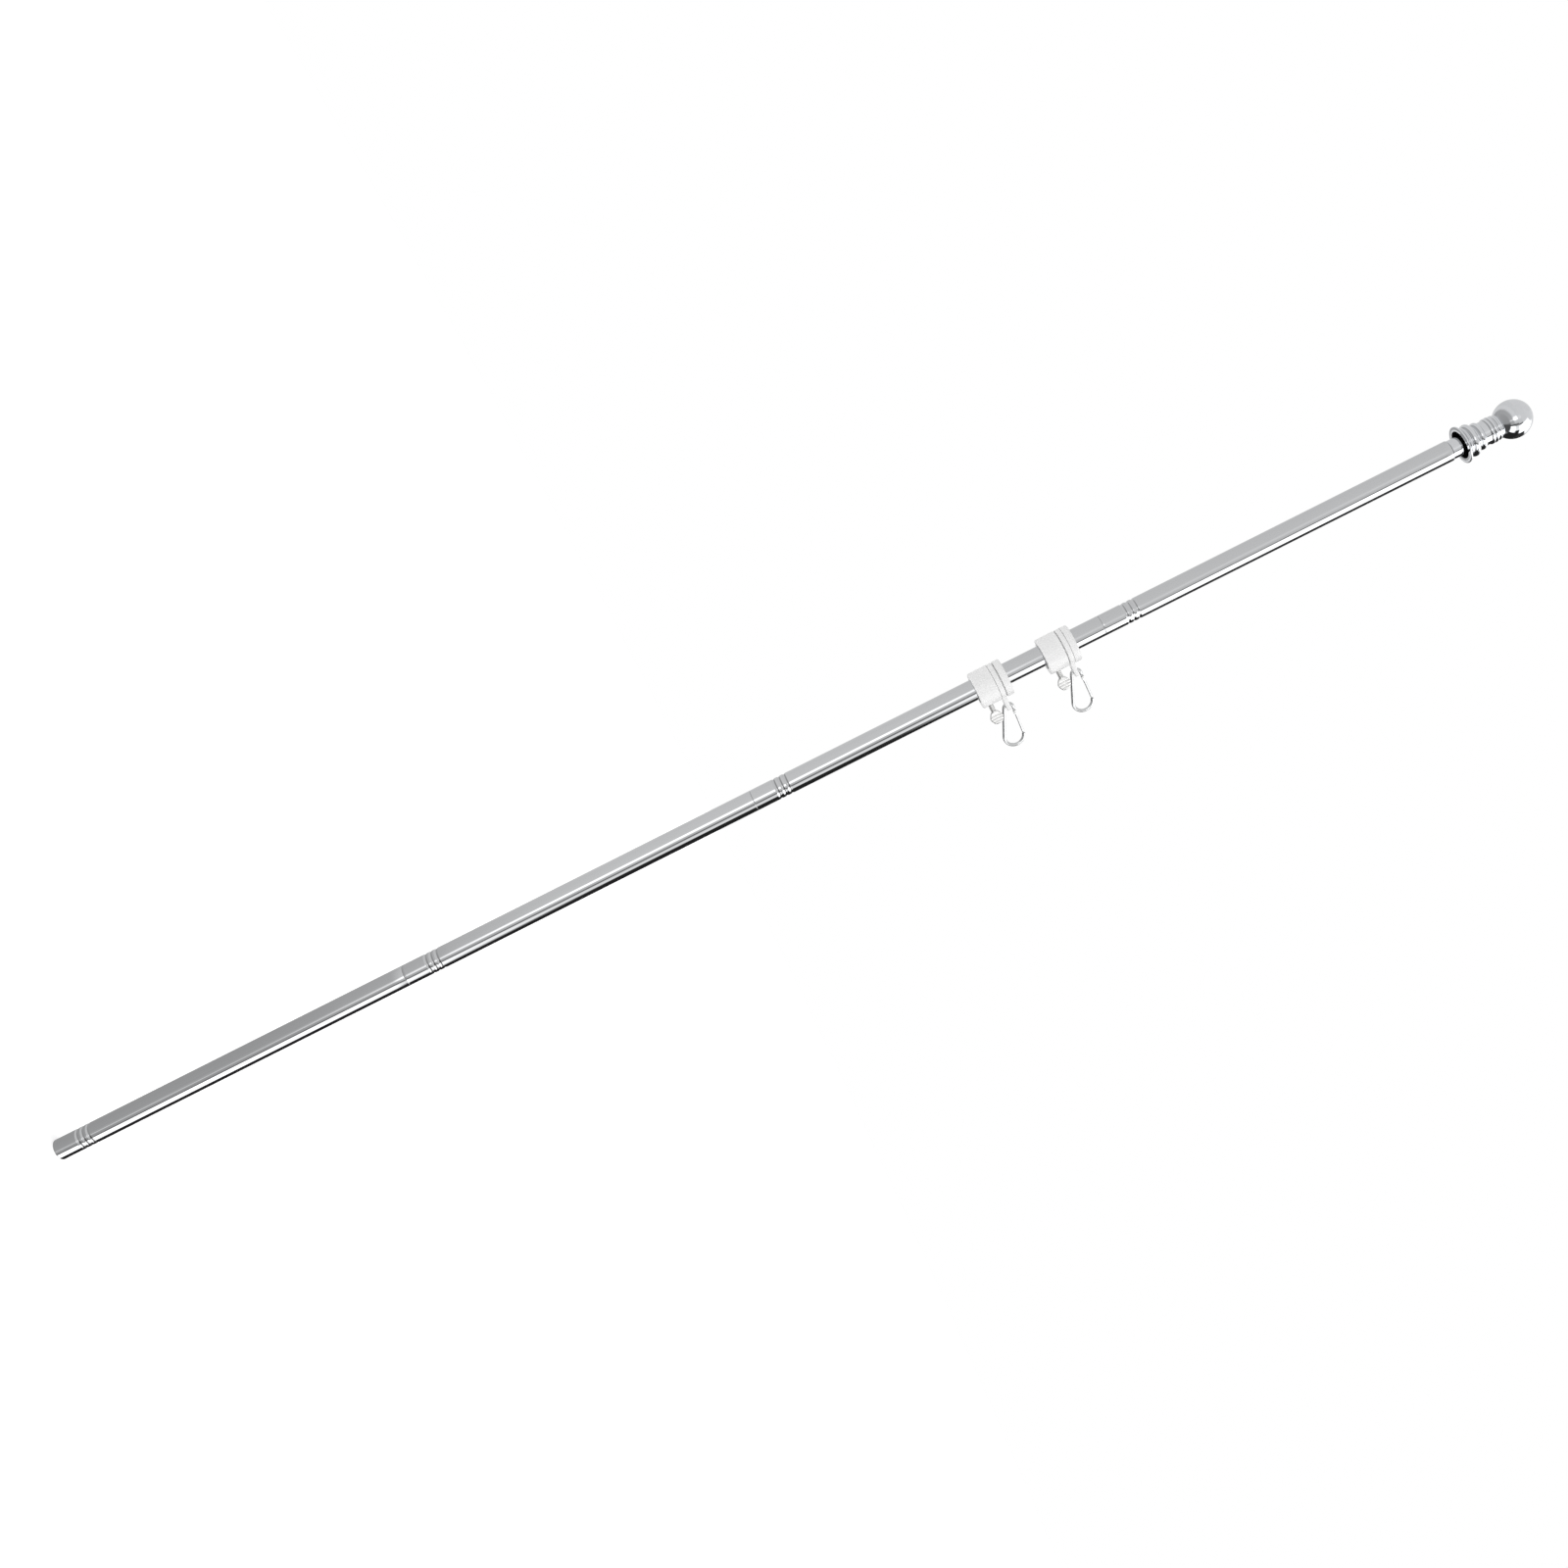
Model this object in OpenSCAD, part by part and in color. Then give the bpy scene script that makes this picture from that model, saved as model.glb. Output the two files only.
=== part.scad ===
// Sectional flagpole: four screwed steel tubes, a ribbed ball finial and two flag rings.
// Each ring is a sleeve clamped to the pole, with a band that turns on it and carries a snap hook.
// The pole stands on Z = 0 and rises along +Z. Screws and hooks are on the +X side.

/* [Pole] */
// Outside diameter of the tube
tube_d = 20; // [16:0.5:25]
// Wall thickness of the tube
tube_wall = 0.6; // [0.5:0.1:1.2]
// Length of one section, from seam to seam
section_l = 360; // [300:5:480]
// Height of the first rolled groove above a section's lower end
groove_first = 24; // [20:0.5:30]
// Distance from one rolled groove to the next
groove_pitch = 5.5; // [4.5:0.1:7]
// Depth of a rolled groove
groove_depth = 0.5; // [0.2:0.05:0.6]
// Radius of the roller that presses a groove
groove_r = 1.4; // [0.9:0.1:1.8]
// Radius on the tube's outer end edges
tube_edge_r = 0.4; // [0.1:0.05:0.45]

/* [Screwed joints] */
// Diameter of the joint thread, at its crests
thread_d = 12; // [8:0.5:13]
// Length of the stud that stands out of a section
stud_l = 24; // [15:1:28]
// Length of the stud's root inside its own tube
stud_root_l = 26; // [15:1:40]
// Length of the insert in a section's lower end
insert_l = 42; // [38:1:60]

/* [Finial] */
// Height of the finial above the tube's end
finial_h = 84; // [78:1:100]
// Diameter of the ball
ball_d = 36.5; // [30:0.5:44]
// Wall thickness of the ball and the ribbed collar
finial_wall = 1.2; // [0.8:0.1:2]
// How far the neck stands in from the tube's surface
neck_step = 0.8; // [0.3:0.1:1.5]
// How far the collar's flared rim stands out from the tube's surface
rim_reach = 8.2; // [6:0.1:10]
// Height of the rim above the tube's end
rim_z = 11.8; // [7:0.2:14]

/* [Ring sleeve] */
// How much wider the sleeve's bore is than the tube
bore_play = 4.2; // [2:0.1:6]
// Length of the sleeve with its cap
sleeve_l = 32; // [28:0.5:45]
// Height of the band's groove above the sleeve's lower end
slot_z = 19.1; // [16:0.1:20]
// Width of the band's groove
slot_w = 6.1; // [5.6:0.1:8]
// Wall thickness of the hub that the band turns on
hub_wall = 3.3; // [2.4:0.1:4.5]
// How far the sleeve stands out from the hub, on both sides of the band
flange_step = 2.3; // [1.8:0.1:3.5]
// Radius on the sleeve's outer rims
rim_r = 1; // [0.4:0.1:1.5]

/* [Band and eye] */
// Width of the band
band_w = 4.7; // [3.5:0.1:5.2]
// Running clearance between the band and the hub
band_gap = 0.3; // [0.2:0.05:0.5]
// Distance from the sleeve's outside to the centre of the bar that the hook hangs on
eye_reach = 12.8; // [12:0.1:16]
// Thickness of that bar, measured outwards
eye_bar_w = 4.6; // [3.6:0.1:4.6]
// Thickness of that bar along the pole
eye_bar_t = 3.8; // [3:0.1:3.8]
// Clearance between the hook's wire and the eye
eye_play = 0.65; // [0.4:0.05:0.9]
// Angle of the eye round the pole, from the thumb screw
eye_angle = 25; // [20:1:60]

/* [Thumb screw] */
// Diameter of the screw's thread
screw_d = 5; // [4:0.5:6]
// Height of the screw above the sleeve's lower end
screw_z = 7.2; // [6.5:0.1:8]
// Length of bare thread between the sleeve and the head
screw_bare_l = 6.5; // [4:0.5:9]
// Width of the head across its corners
head_w = 13; // [9:0.2:13.4]
// Height of the head along the screw
head_h = 12.2; // [9:0.2:13.4]
// Thickness of the head
head_t = 2.6; // [1.8:0.1:3.2]

/* [Snap hook] */
// Overall length of the hook
hook_l = 46; // [40:1:60]
// Overall width of the hook
hook_w = 22.1; // [19:0.1:24]
// Diameter of the hook's wire
wire_d = 3.1; // [2.6:0.1:3.7]
// Diameter of the gate's rod
gate_d = 2.4; // [1.8:0.1:2.6]
// Diameter of the gate's rivet
rivet_d = 1.4; // [1:0.1:1.6]

/* [Positions] */
// Height of the lower ring's bottom edge above the third section's lower end
lower_rise = 228; // [-520:1:240]
// Height of the upper ring's bottom edge above the third section's lower end
upper_rise = 298; // [285:1:480]
// Tilt of the lower hook towards the butt
lower_tilt = 12; // [0:0.5:13]
// Tilt of the upper hook towards the butt
upper_tilt = 9; // [0:0.5:13]

/* [Hidden] */
$fn = 96;

steel = [0.78, 0.79, 0.80];
plated = [0.86, 0.87, 0.88];
white_plastic = [0.93, 0.93, 0.93];
grey_plastic = [0.32, 0.33, 0.34];

eps = 0.01;            // how far a cutter runs past a face
press_gap = 0.05;      // radial gap of pieces pressed or screwed together
slide_gap = 0.2;       // gap between the sleeve's bore and the tube, on the side that touches
grooves = 3;           // rolled grooves on each section

tube_r = tube_d / 2;
tube_ir = tube_r - tube_wall;
core_r = tube_ir - press_gap;
stud_r = thread_d / 2;
thread_r = stud_r + press_gap;
roller_x = tube_r + groove_r - groove_depth;
bore_l = stud_l + 2;   // the socket's bore is a little deeper than the stud is long
cone_l = 1;            // lead-in chamfer of a socket's mouth

pole_l = 4 * section_l;
ball_r = ball_d / 2;
ball_z = pole_l + finial_h - ball_r;
neck_r = tube_r - neck_step;
rim_x = tube_r + rim_reach;
rim_at = pole_l + rim_z;

lower_z = 2 * section_l + lower_rise;
upper_z = 2 * section_l + upper_rise;
sleeve_bore_r = tube_r + bore_play / 2;
hub_r = sleeve_bore_r + hub_wall;
sleeve_r = hub_r + flange_step;
sleeve_x = sleeve_bore_r - tube_r - slide_gap;
cap_z = slot_z + slot_w;
cap_seat_r = (sleeve_bore_r + hub_r) / 2;
band_ir = hub_r + band_gap;
band_or = sleeve_r - 0.1;
lower_band_z = slot_z + band_gap + band_w / 2;          // against the groove's lower side
upper_band_z = cap_z - band_gap - band_w / 2;           // against the groove's upper side

wire_r = wire_d / 2;
eye_bar_r = sleeve_r + eye_reach;
loop_r = eye_bar_w / 2 + eye_play + wire_r;             // centre line of the hook's top loop
bow_r = hook_w / 2 - wire_r;                            // centre line of the hook's wide end
bow_x = hook_l - wire_d - loop_r - bow_r;               // distance between those two centres
side_turn = asin((bow_r - loop_r) / bow_x);             // how far each side leans from the axis
side_l = bow_x * cos(side_turn);
pivot_s = 5.5;                                          // the rivet's place along the gate side
nose_s = side_l + 1.2;                                  // where the hook's nose begins
eye_hole_r = wire_r + eye_play;
eye_hole_x = eye_bar_r - eye_bar_w / 2 - eye_hole_r;
eye_r = 5.4;                                            // outer radius of the eye
eye_tip_x = eye_bar_r + eye_bar_w / 2;

// ---------------------------------------------------------------- pole

// Heights of the rolled grooves above a section's lower end
function groove_z(i) = groove_first + i * groove_pitch;

// Wall of one section: the groove dents the wall, so a bead stands inside under each groove
module tube_profile() {
    difference() {
        union() {
            translate([tube_ir, 0])
                square([tube_wall, section_l]);
            for (i = [0 : grooves - 1])
                intersection() {
                    translate([roller_x, groove_z(i)])
                        circle(r = groove_r + tube_wall);
                    translate([0, groove_z(i) - 2 * groove_r])
                        square([tube_r - tube_wall / 2, 4 * groove_r]);
                }
        }
        for (i = [0 : grooves - 1])
            translate([roller_x, groove_z(i)])
                circle(r = groove_r);
        edge_cut(0, 1);
        edge_cut(section_l, -1);
    }
}

// Rounds the tube's outer edge at height z; up says which way the tube lies from there
module edge_cut(z, up) {
    translate([tube_r - tube_edge_r, z + up * tube_edge_r])
        difference() {
            translate([0, up > 0 ? -tube_edge_r - eps : 0])
                square([tube_edge_r + eps, tube_edge_r + eps]);
            circle(r = tube_edge_r);
        }
}

module pole_section(i) {
    color(steel)
        translate([0, 0, i * section_l])
            rotate_extrude()
                tube_profile();
}

// Cuts the dents that the grooves' beads press into an insert
module bead_cuts() {
    for (i = [0 : grooves - 1])
        translate([roller_x, groove_z(i)])
            circle(r = groove_r + tube_wall + press_gap);
}

module butt_plug() {
    color(grey_plastic)
        rotate_extrude()
            difference() {
                square([core_r, insert_l]);
                bead_cuts();
            }
}

// Threaded socket in the lower end of a section, with a chamfered mouth
module socket(i) {
    color(grey_plastic)
        translate([0, 0, i * section_l])
            rotate_extrude()
                difference() {
                    square([core_r, insert_l]);
                    bead_cuts();
                    translate([0, -eps])
                        square([thread_r, bore_l + eps]);
                    polygon([
                        [0, -eps],
                        [thread_r + cone_l, -eps],
                        [thread_r + cone_l, 0],
                        [thread_r, cone_l],
                        [0, cone_l]
                    ]);
                }
}

// Threaded stud at the upper end of a section: its root is pressed into the tube
module stud(i) {
    color(plated)
        translate([0, 0, (i + 1) * section_l])
            rotate_extrude() {
                translate([0, -stud_root_l])
                    square([core_r, stud_root_l - press_gap]);
                polygon([
                    [0, -stud_root_l],
                    [stud_r, -stud_root_l],
                    [stud_r, stud_l - cone_l],
                    [stud_r - cone_l, stud_l],
                    [0, stud_l]
                ]);
            }
}

module pole_section_1() { pole_section(0); }
module pole_section_2() { pole_section(1); }
module pole_section_3() { pole_section(2); }
module pole_section_4() { pole_section(3); }
module socket_2() { socket(1); }
module socket_3() { socket(2); }
module socket_4() { socket(3); }
module stud_1() { stud(0); }
module stud_2() { stud(1); }
module stud_3() { stud(2); }
module stud_4() { stud(3); }

// ---------------------------------------------------------------- finial

cup_depth = 9;                     // depth of the collar's open mouth
mouth_r = neck_r + 4.2;            // radius of the mouth inside the flared rim
mouth_flare = 2.4;                 // how much wider the mouth is at its very edge
mouth_flare_l = 1.6;
mouth_taper = 1.6;                 // how much narrower the mouth is at its floor
cup_floor = rim_at + cup_depth;
waist_r = neck_r + 2.4;            // radius of the collar between its ribs
seat_r = neck_r + 1;               // radius of the flat where the ball sits on the collar
seat_z = ball_z - sqrt(ball_r * ball_r - seat_r * seat_r);
collar_l = seat_z - rim_at;
// Each rib: how far it stands out from the waist, its height as a share of the collar, its half width
ribs = [[4.3, 0.253, 4.4], [1.8, 0.467, 3.6], [1, 0.768, 3.6], [0.6, 0.915, 1.6]];
rim_edge = 0.8;                    // chamfer on the rim's outer edge
throat = 2;                        // how far the collar draws in behind its rim
throat_z = [2, 6];                 // heights above the rim where it begins and ends
neck_chamfer = 0.5;
neck_tail = 4;                     // neck left above the stud's bore
hollow_wall = 3;                   // wall of the collar between its ribs and its hollow core
hollow_floor = 2;                  // wall under the ball's seat
neck_top = pole_l + bore_l + neck_tail;

// Ferrule that screws on the top section's stud and carries the collar
module finial_neck() {
    color(plated)
        rotate_extrude()
            difference() {
                translate([0, pole_l + press_gap])
                    square([neck_r, neck_top - pole_l]);
                translate([0, pole_l - eps])
                    square([thread_r, bore_l + eps]);
                translate([neck_r, pole_l])
                    rotate(45)
                        square(sqrt(2) * neck_chamfer, center = true);
            }
}

// One rounded rib of the collar
module rib(step, z, half) {
    r = waist_r + step - half;
    translate([r, z])
        circle(r = half);
    translate([0, z - half])
        square([r, 2 * half]);
}

// Flared rim, throat, waist and ribs
module collar_outline() {
    polygon([
        [0, rim_at],
        [rim_x - rim_edge, rim_at],
        [rim_x, rim_at + rim_edge],
        [rim_x - rim_edge / 2, rim_at + throat_z[0]],
        [waist_r + ribs[0][0] - throat, rim_at + throat_z[1]],
        [waist_r, rim_at + ribs[0][1] * collar_l],
        [waist_r, seat_z],
        [0, seat_z]
    ]);
    for (r = ribs)
        rib(r[0], rim_at + r[1] * collar_l, r[2]);
}

module finial_collar() {
    color(plated)
        rotate_extrude()
            difference() {
                collar_outline();
                polygon([
                    [0, rim_at - eps],
                    [mouth_r + mouth_flare, rim_at - eps],
                    [mouth_r, rim_at + mouth_flare_l],
                    [mouth_r - mouth_taper, cup_floor],
                    [0, cup_floor]
                ]);
                square([neck_r + press_gap, neck_top + 2 * press_gap]);
                translate([0, neck_top])
                    square([waist_r - finial_wall - hollow_wall, seat_z - neck_top - hollow_floor]);
            }
}

// Pressed hollow ball with a flat seat
module finial_ball() {
    color(plated)
        translate([0, 0, ball_z])
            rotate_extrude()
                intersection() {
                    difference() {
                        circle(r = ball_r);
                        circle(r = ball_r - finial_wall);
                    }
                    translate([0, seat_z - ball_z + press_gap])
                        square([ball_d, ball_d + finial_h]);
                }
}

// ---------------------------------------------------------------- ring sleeve and cap

// Square profile from radius a to b and height z0 to z1, with the outer corners in round rounded
module wall_profile(a, b, z0, z1, low_r, high_r) {
    difference() {
        translate([a, z0])
            square([b - a, z1 - z0]);
        translate([b - low_r, z0 + low_r])
            difference() {
                translate([0, -low_r - eps])
                    square([low_r + eps, low_r + eps]);
                circle(r = low_r);
            }
        translate([b - high_r, z1 - high_r])
            difference() {
                square([high_r + eps, high_r + eps]);
                circle(r = high_r);
            }
    }
}

small_r = 0.3;         // radius on the groove's edges

module sleeve() {
    color(white_plastic)
        translate([sleeve_x, 0, 0])
            difference() {
                rotate_extrude()
                    union() {
                        wall_profile(sleeve_bore_r, sleeve_r, 0, slot_z, rim_r, small_r);
                        translate([sleeve_bore_r, eps])
                            square([hub_r - sleeve_bore_r, cap_z - eps]);
                        translate([sleeve_bore_r, cap_z - eps])
                            square([cap_seat_r - sleeve_bore_r, sleeve_l - cap_z - rim_r]);
                    }
                translate([sleeve_bore_r / 2, 0, screw_z])
                    rotate([0, 90, 0])
                        cylinder(r = screw_d / 2 + press_gap, h = sleeve_r);
            }
}

// Flange that closes the band's groove, pressed on the sleeve's hub
module cap() {
    color(white_plastic)
        translate([sleeve_x, 0, 0])
            rotate_extrude()
                difference() {
                    wall_profile(sleeve_bore_r, sleeve_r, cap_z, sleeve_l, small_r, rim_r);
                    translate([0, cap_z - eps])
                        square([cap_seat_r + press_gap, sleeve_l - cap_z - rim_r + press_gap]);
                }
}

// ---------------------------------------------------------------- band with its eye

eye_x = eye_tip_x - eye_r;
neck_half = 6.6;       // half width of the eye's root on the band
eye_side = eye_r - 0.1;   // half width where the root meets the eye's round end
sink_d = 1;            // depth of the countersinks of the eye's hole
tip_half_t = 1.2;      // half thickness of the eye at its very tip
tip_round = 1.1;       // how far in from its tip the eye begins to thin
land_x = eye_bar_r - eye_bar_w / 2 + sink_d + 0.2;   // where the bar's flat begins, past the sink

// Outline of the band and eye, seen along the pole
module band_outline() {
    circle(r = band_or);
    translate([eye_x, 0])
        circle(r = eye_r);
    polygon([
        [band_ir, -neck_half],
        [eye_x, -eye_side],
        [eye_x, eye_side],
        [band_ir, neck_half]
    ]);
}

// Wedge that thins the eye on its upper face, from the band's width to the bar's thickness
module eye_wedge() {
    translate([0, sleeve_r, 0])
        rotate([90, 0, 0])
            linear_extrude(2 * sleeve_r)
                polygon([
                    [sleeve_r, band_w / 2 + eps],
                    [land_x, eye_bar_t / 2],
                    [eye_tip_x - tip_round, eye_bar_t / 2],
                    [eye_tip_x + eps, tip_half_t],
                    [eye_tip_x + 1, tip_half_t],
                    [eye_tip_x + 1, band_w],
                    [sleeve_r, band_w]
                ]);
}

module band() {
    color(white_plastic)
        difference() {
            translate([0, 0, -band_w / 2])
                linear_extrude(band_w)
                    band_outline();
            cylinder(r = band_ir, h = 2 * band_w, center = true);
            eye_wedge();
            mirror([0, 0, 1])
                eye_wedge();
            translate([eye_hole_x, 0, 0]) {
                cylinder(r = eye_hole_r, h = 2 * band_w, center = true);
                eye_sink(1);
                eye_sink(-1);
            }
        }
}

// Countersink that lets the wire roll over the bar; side is the face it is on
module eye_sink(side) {
    rotate([side > 0 ? 0 : 180, 0, 0])
        rotate_extrude()
            polygon([
                [0, eye_bar_t / 2 - sink_d],
                [eye_hole_r, eye_bar_t / 2 - sink_d],
                [eye_hole_r + 2 * sink_d, eye_bar_t / 2 + sink_d],
                [eye_hole_r + 2 * sink_d, band_w],
                [0, band_w]
            ]);
}

// ---------------------------------------------------------------- thumb screw

head_x = sleeve_r + screw_bare_l;     // where the head begins, from the sleeve's axis
tip_x = tube_r + slide_gap - sleeve_x;  // where the screw's tip meets the tube
head_collar_r = 3.4;
head_collar_l = 1.4;
ridge_pitch = 2.6;
ridge_cut_r = 0.9;
ridge_cut_depth = 0.35;
ridges = 3;

// Outline of the flat head: a hexagon with its corners rounded off
module head_outline() {
    intersection() {
        circle(r = head_w / 2);
        polygon([
            [-head_h / 2, -head_w / 4 - 0.6],
            [0, -head_w / 2 - 0.4],
            [head_h / 2, -head_w / 4 - 0.6],
            [head_h / 2, head_w / 4 + 0.6],
            [0, head_w / 2 + 0.4],
            [-head_h / 2, head_w / 4 + 0.6]
        ]);
    }
}

module screw() {
    color(plated)
        translate([sleeve_x, 0, screw_z]) {
            translate([tip_x, 0, 0])
                rotate([0, 90, 0])
                    cylinder(r = screw_d / 2, h = head_x + head_collar_l - tip_x);
            translate([head_x, 0, 0])
                rotate([0, 90, 0])
                    cylinder(r = head_collar_r, h = head_collar_l);
            translate([head_x + head_h / 2, 0, 0])
                difference() {
                    rotate([90, 0, 0])
                        linear_extrude(head_t, center = true)
                            head_outline();
                    for (side = [-1, 1])
                        for (i = [0 : ridges - 1])
                            translate([
                                (i - (ridges - 1) / 2) * ridge_pitch + 0.8,
                                side * (head_t / 2 + ridge_cut_r - ridge_cut_depth),
                                0
                            ])
                                cylinder(r = ridge_cut_r, h = 2 * head_w, center = true);
                }
        }
}

// ---------------------------------------------------------------- snap hook
// The hook lies in its own XZ plane: X runs from the loop's centre to the wide end, and the gate
// is on the +Z side.

tongue_t = 1.3;        // thickness of the wire's flattened end, inside the gate's fork
tongue_l = 3.2;        // length of the flattened end before the rivet
cheek_t = 0.8;         // thickness of each cheek of the fork
cheek_gap = 0.1;       // gap between a cheek and the flattened end
cheek_r = wire_r + 0.15;
fork_l = 3.4;          // length of the fork beyond the rivet
web_s = 2.3;           // where the fork closes, beyond the rivet
nose_slot_t = 1.5;     // width of the slot in the nose
nose_slot_l = 2.6;     // depth of the slot in the nose
nose_lip_t = 0.6;      // wire left outside the slot, which stops the gate
gate_gap = 0.35;       // gap between the gate's rod and the nose
tongue_tip_t = 1;      // thickness of the gate's tip, inside the slot
tongue_tip_l = 1.9;
turn_end = 90 + side_turn;            // angle of the sides' ends round the loop
weld_r = wire_r + 0.04;               // slight swelling where two stretches of wire are welded
weld_gap = 0.05;                      // the stretches stop this short of each other inside it
seam_turn = 50;                       // keeps the seams of the wire's round faces apart

// Part of a ring of round wire about the Y axis, from angle a to b measured from +X towards +Z
module wire_arc(r, a, b) {
    rotate([90, 0, 0])
        rotate([0, 0, a])
            rotate_extrude(angle = b - a)
                translate([r, 0])
                    circle(r = wire_r);
}

// Places its children at the start of a side, with X along that side
module on_side(up) {
    rotate([0, -up * side_turn, 0])
        translate([0, 0, up * loop_r])
            children();
}

module rod(r, l) {
    rotate([0, 90, 0])
        rotate([0, 0, seam_turn])
            cylinder(r = r, h = l);
}

// Weld between two stretches of wire
module weld() {
    rotate([20, 35, seam_turn])
        sphere(r = weld_r);
}

// A round bar along Y through the origin
module cross_bar(r, w) {
    rotate([90, 0, 0])
        cylinder(r = r, h = w, center = true);
}

// Angle, round the wide end's centre, at which the nose ends
nose_turn = 90 - side_turn * 0.2;

module hook() {
    color(steel)
        difference() {
            union() {
                wire_arc(loop_r, turn_end, 360 - turn_end);
                on_side(-1) {
                    weld();
                    translate([weld_gap, 0, 0])
                        rod(wire_r, side_l - 2 * weld_gap);
                    translate([side_l, 0, 0])
                        weld();
                }
                translate([bow_x, 0, 0])
                    wire_arc(bow_r, -turn_end, nose_turn);
                on_side(1) {
                    weld();
                    translate([weld_gap, 0, 0])
                        flat_end(pivot_s - weld_gap);
                }
            }
            translate([bow_x, 0, 0])
                rotate([0, -nose_turn, 0])
                    nose_slot();
        }
}

// The wire's upper end, flattened between the gate's cheeks and rounded about the rivet at length l
module flat_end(l) {
    rod(wire_r, l - tongue_l);
    difference() {
        intersection() {
            union() {
                rod(wire_r, l);
                translate([l, 0, 0])
                    cross_bar(wire_r, tongue_t);
            }
            translate([l - tongue_l - eps, -tongue_t / 2, -wire_d])
                cube([tongue_l + wire_d, tongue_t, 2 * wire_d]);
        }
        translate([l, 0, 0])
            cross_bar(rivet_d / 2 + press_gap, wire_d);
    }
}

// Slot in the nose, open at its end face and towards the inside of the hook
module nose_slot() {
    translate([bow_r - wire_d, -nose_slot_t / 2, -nose_slot_l])
        cube([wire_d + wire_r - nose_lip_t, nose_slot_t, nose_slot_l + 1]);
}

gate_l = nose_s - gate_gap - pivot_s;

module gate() {
    color(steel)
        on_side(1)
            translate([pivot_s, 0, 0]) {
                translate([web_s, 0, 0])
                    rod(gate_d / 2, gate_l - web_s);
                fork();
                translate([gate_l - 1, -tongue_tip_t / 2, -gate_d / 2])
                    cube([1 + tongue_tip_l, tongue_tip_t, gate_d / 2 + 0.55]);
            }
}

// Two cheeks that straddle the flattened wire, joined beyond it by a web
module fork() {
    fork_w = tongue_t + 2 * cheek_gap + 2 * cheek_t;
    slot_t = tongue_t + 2 * cheek_gap;
    difference() {
        union() {
            cross_bar(cheek_r, fork_w);
            translate([0, -fork_w / 2, -cheek_r])
                cube([fork_l, fork_w, 2 * cheek_r]);
        }
        translate([-2 * cheek_r, -slot_t / 2, -2 * cheek_r])
            cube([2 * cheek_r + web_s, slot_t, 4 * cheek_r]);
        cross_bar(rivet_d / 2 + press_gap, 2 * fork_w);
    }
}

rivet_head_r = 1.3;
rivet_head_t = 0.5;

module rivet() {
    fork_w = tongue_t + 2 * cheek_gap + 2 * cheek_t;
    color(plated)
        on_side(1)
            translate([pivot_s, 0, 0]) {
                cross_bar(rivet_d / 2, fork_w + 2 * press_gap);
                for (side = [-1, 1])
                    translate([0, side * (fork_w / 2 + press_gap + rivet_head_t / 2), 0])
                        cross_bar(rivet_head_r, rivet_head_t);
            }
}

// ---------------------------------------------------------------- the two rings

// Places a piece of the band, at height z on its ring
module on_band(ring_z, z) {
    translate([sleeve_x, 0, ring_z + z])
        rotate([0, 0, eye_angle])
            children();
}

// Places a piece of the hook, which hangs on the eye's bar at a tilt
module on_bar(ring_z, z, tilt) {
    on_band(ring_z, z)
        translate([eye_bar_r, 0, 0])
            rotate([0, tilt, 0])
                children();
}

module lower_sleeve() { translate([0, 0, lower_z]) sleeve(); }
module lower_cap() { translate([0, 0, lower_z]) cap(); }
module lower_screw() { translate([0, 0, lower_z]) screw(); }
module lower_band() { on_band(lower_z, lower_band_z) band(); }
module lower_hook() { on_bar(lower_z, lower_band_z, lower_tilt) hook(); }
module lower_gate() { on_bar(lower_z, lower_band_z, lower_tilt) gate(); }
module lower_rivet() { on_bar(lower_z, lower_band_z, lower_tilt) rivet(); }
module upper_sleeve() { translate([0, 0, upper_z]) sleeve(); }
module upper_cap() { translate([0, 0, upper_z]) cap(); }
module upper_screw() { translate([0, 0, upper_z]) screw(); }
module upper_band() { on_band(upper_z, upper_band_z) band(); }
module upper_hook() { on_bar(upper_z, upper_band_z, upper_tilt) hook(); }
module upper_gate() { on_bar(upper_z, upper_band_z, upper_tilt) gate(); }
module upper_rivet() { on_bar(upper_z, upper_band_z, upper_tilt) rivet(); }

pole_section_1();
pole_section_2();
pole_section_3();
pole_section_4();
butt_plug();
socket_2();
socket_3();
socket_4();
stud_1();
stud_2();
stud_3();
stud_4();
finial_neck();
finial_collar();
finial_ball();
lower_sleeve();
lower_cap();
lower_screw();
lower_band();
lower_hook();
lower_gate();
lower_rivet();
upper_sleeve();
upper_cap();
upper_screw();
upper_band();
upper_hook();
upper_gate();
upper_rivet();
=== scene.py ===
import bpy
import bmesh
import numpy as np
from mathutils import Matrix, Vector


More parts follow.
